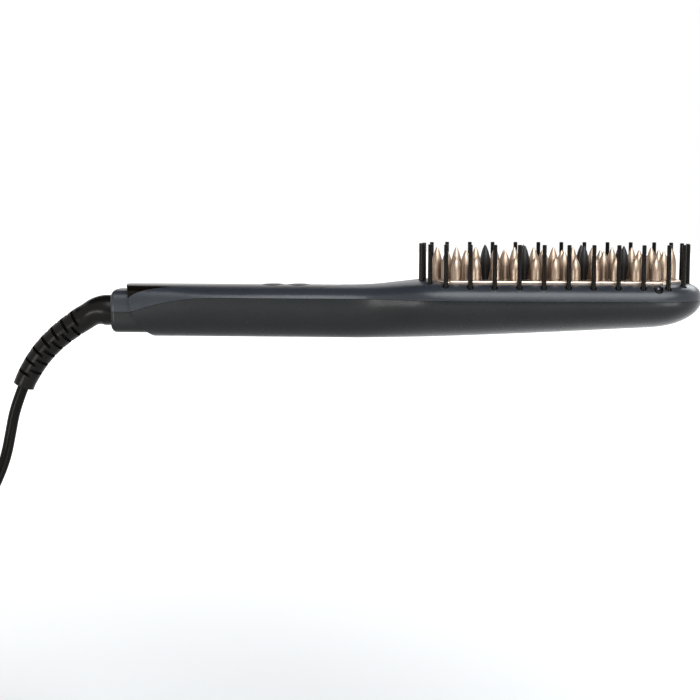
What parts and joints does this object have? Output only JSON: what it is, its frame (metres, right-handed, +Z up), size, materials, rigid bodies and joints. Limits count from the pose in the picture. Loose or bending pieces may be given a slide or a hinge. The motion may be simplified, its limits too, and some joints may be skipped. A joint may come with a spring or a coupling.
{
  "type": "hair straightening brush",
  "caption": "Corded hair straightening brush: slim handle with press buttons, heated plate of tapered bristles ringed by tall guard pins, and a swivelling cord with its plug.",
  "frame": {"origin": "middle of the grip, on the axis that the cord's swivel turns about", "axes": "+X from the cord end along the brush to its nose, +Z up the way the bristles point, +Y across the brush to the left of someone who looks along +X"},
  "size_m": [0.46, 0.0584, 0.2974],
  "materials": {
    "upper_shell": "dark slate, fine satin gloss",
    "lower_shell": "dark slate, fine moulded satin",
    "panel_black": "piano black gloss",
    "button_black": "dark satin gloss",
    "light_diffuser": "milky clear",
    "light_emitter": "clear encapsulated",
    "board_green": "solder mask",
    "electronics_black": "moulded component",
    "capacitor_yellow": "moulded box",
    "switch_white": "moulded component",
    "fastener_steel": "zinc plated",
    "plate_champagne": "champagne anodised satin",
    "bristle_champagne": "champagne anodised, polished tips",
    "tip_black": "satin black heat resistant",
    "pin_black": "satin black, faintly brown",
    "frame_black": "glass filled",
    "heater_foil": "extruded",
    "insulation_amber": "polyimide film",
    "clamp_steel": "stamped",
    "module_grey": "potted box",
    "bush_grey": "low friction",
    "contact_brass": "bright",
    "wire_jacket": "silicone jacket",
    "boot_rubber": "soft satin",
    "cord_jacket": "soft satin",
    "tie_rubber": "matte",
    "plug_black": "moulded satin",
    "plug_pin_metal": "nickel plated"
  },
  "bodies": {
    "brush": {"upper_housing": "upper_shell", "lower_housing": "lower_shell", "control_panel": "panel_black", "power_switch": "switch_white", "temperature_switch": "switch_white", "ready_light_pipe": "light_diffuser", "ready_led": "light_emitter", "control_board": "board_green", "board_screws": "fastener_steel", "mains_capacitor": "capacitor_yellow", "heater_triac": "electronics_black", "controller_chip": "electronics_black", "heating_plate": "plate_champagne", "heated_bristles": "bristle_champagne", "cool_tip_bristles": "tip_black", "guard_pins": "pin_black", "bristle_frame": "frame_black", "ptc_heaters": "heater_foil", "insulation_sheet": "insulation_amber", "heater_clamp": "clamp_steel", "clamp_screws": "fastener_steel", "temperature_sensor": "switch_white", "thermal_fuse": "switch_white", "ion_module": "module_grey", "ion_outlets": "panel_black", "ion_needles": "fastener_steel", "contact_holder": "bush_grey", "contact_springs": "contact_brass", "mains_wires": "wire_jacket", "heater_wires": "wire_jacket", "housing_screws": "fastener_steel"},
    "power_key": {"power_button": "button_black", "power_switch_plunger": "electronics_black"},
    "temperature_key": {"temperature_button": "button_black", "temperature_switch_plunger": "electronics_black"},
    "cord_set": {"swivel_bush": "bush_grey", "slip_rings": "contact_brass", "cord_boot": "boot_rubber", "cord_lead": "cord_jacket", "cord_coil": "cord_jacket", "cord_tie": "tie_rubber", "cord_tail": "cord_jacket", "plug_body": "plug_black", "plug_pins": "plug_pin_metal"}
  },
  "joints": [
    {"name": "power_press", "type": "slide", "parent": "brush", "child": "power_key", "axis": [0, 0, -1], "range_m": [0, 0.0007], "stiffness_N_per_m": 1200, "springref_m": -0.0006},
    {"name": "temperature_press", "type": "slide", "parent": "brush", "child": "temperature_key", "axis": [0, 0, -1], "range_m": [0, 0.0007], "stiffness_N_per_m": 1200, "springref_m": -0.0006},
    {"name": "cord_swivel", "type": "hinge", "parent": "brush", "child": "cord_set", "pos_m": [-0.065, 0, 0], "axis": [1, 0, 0], "continuous": true}
  ]
}
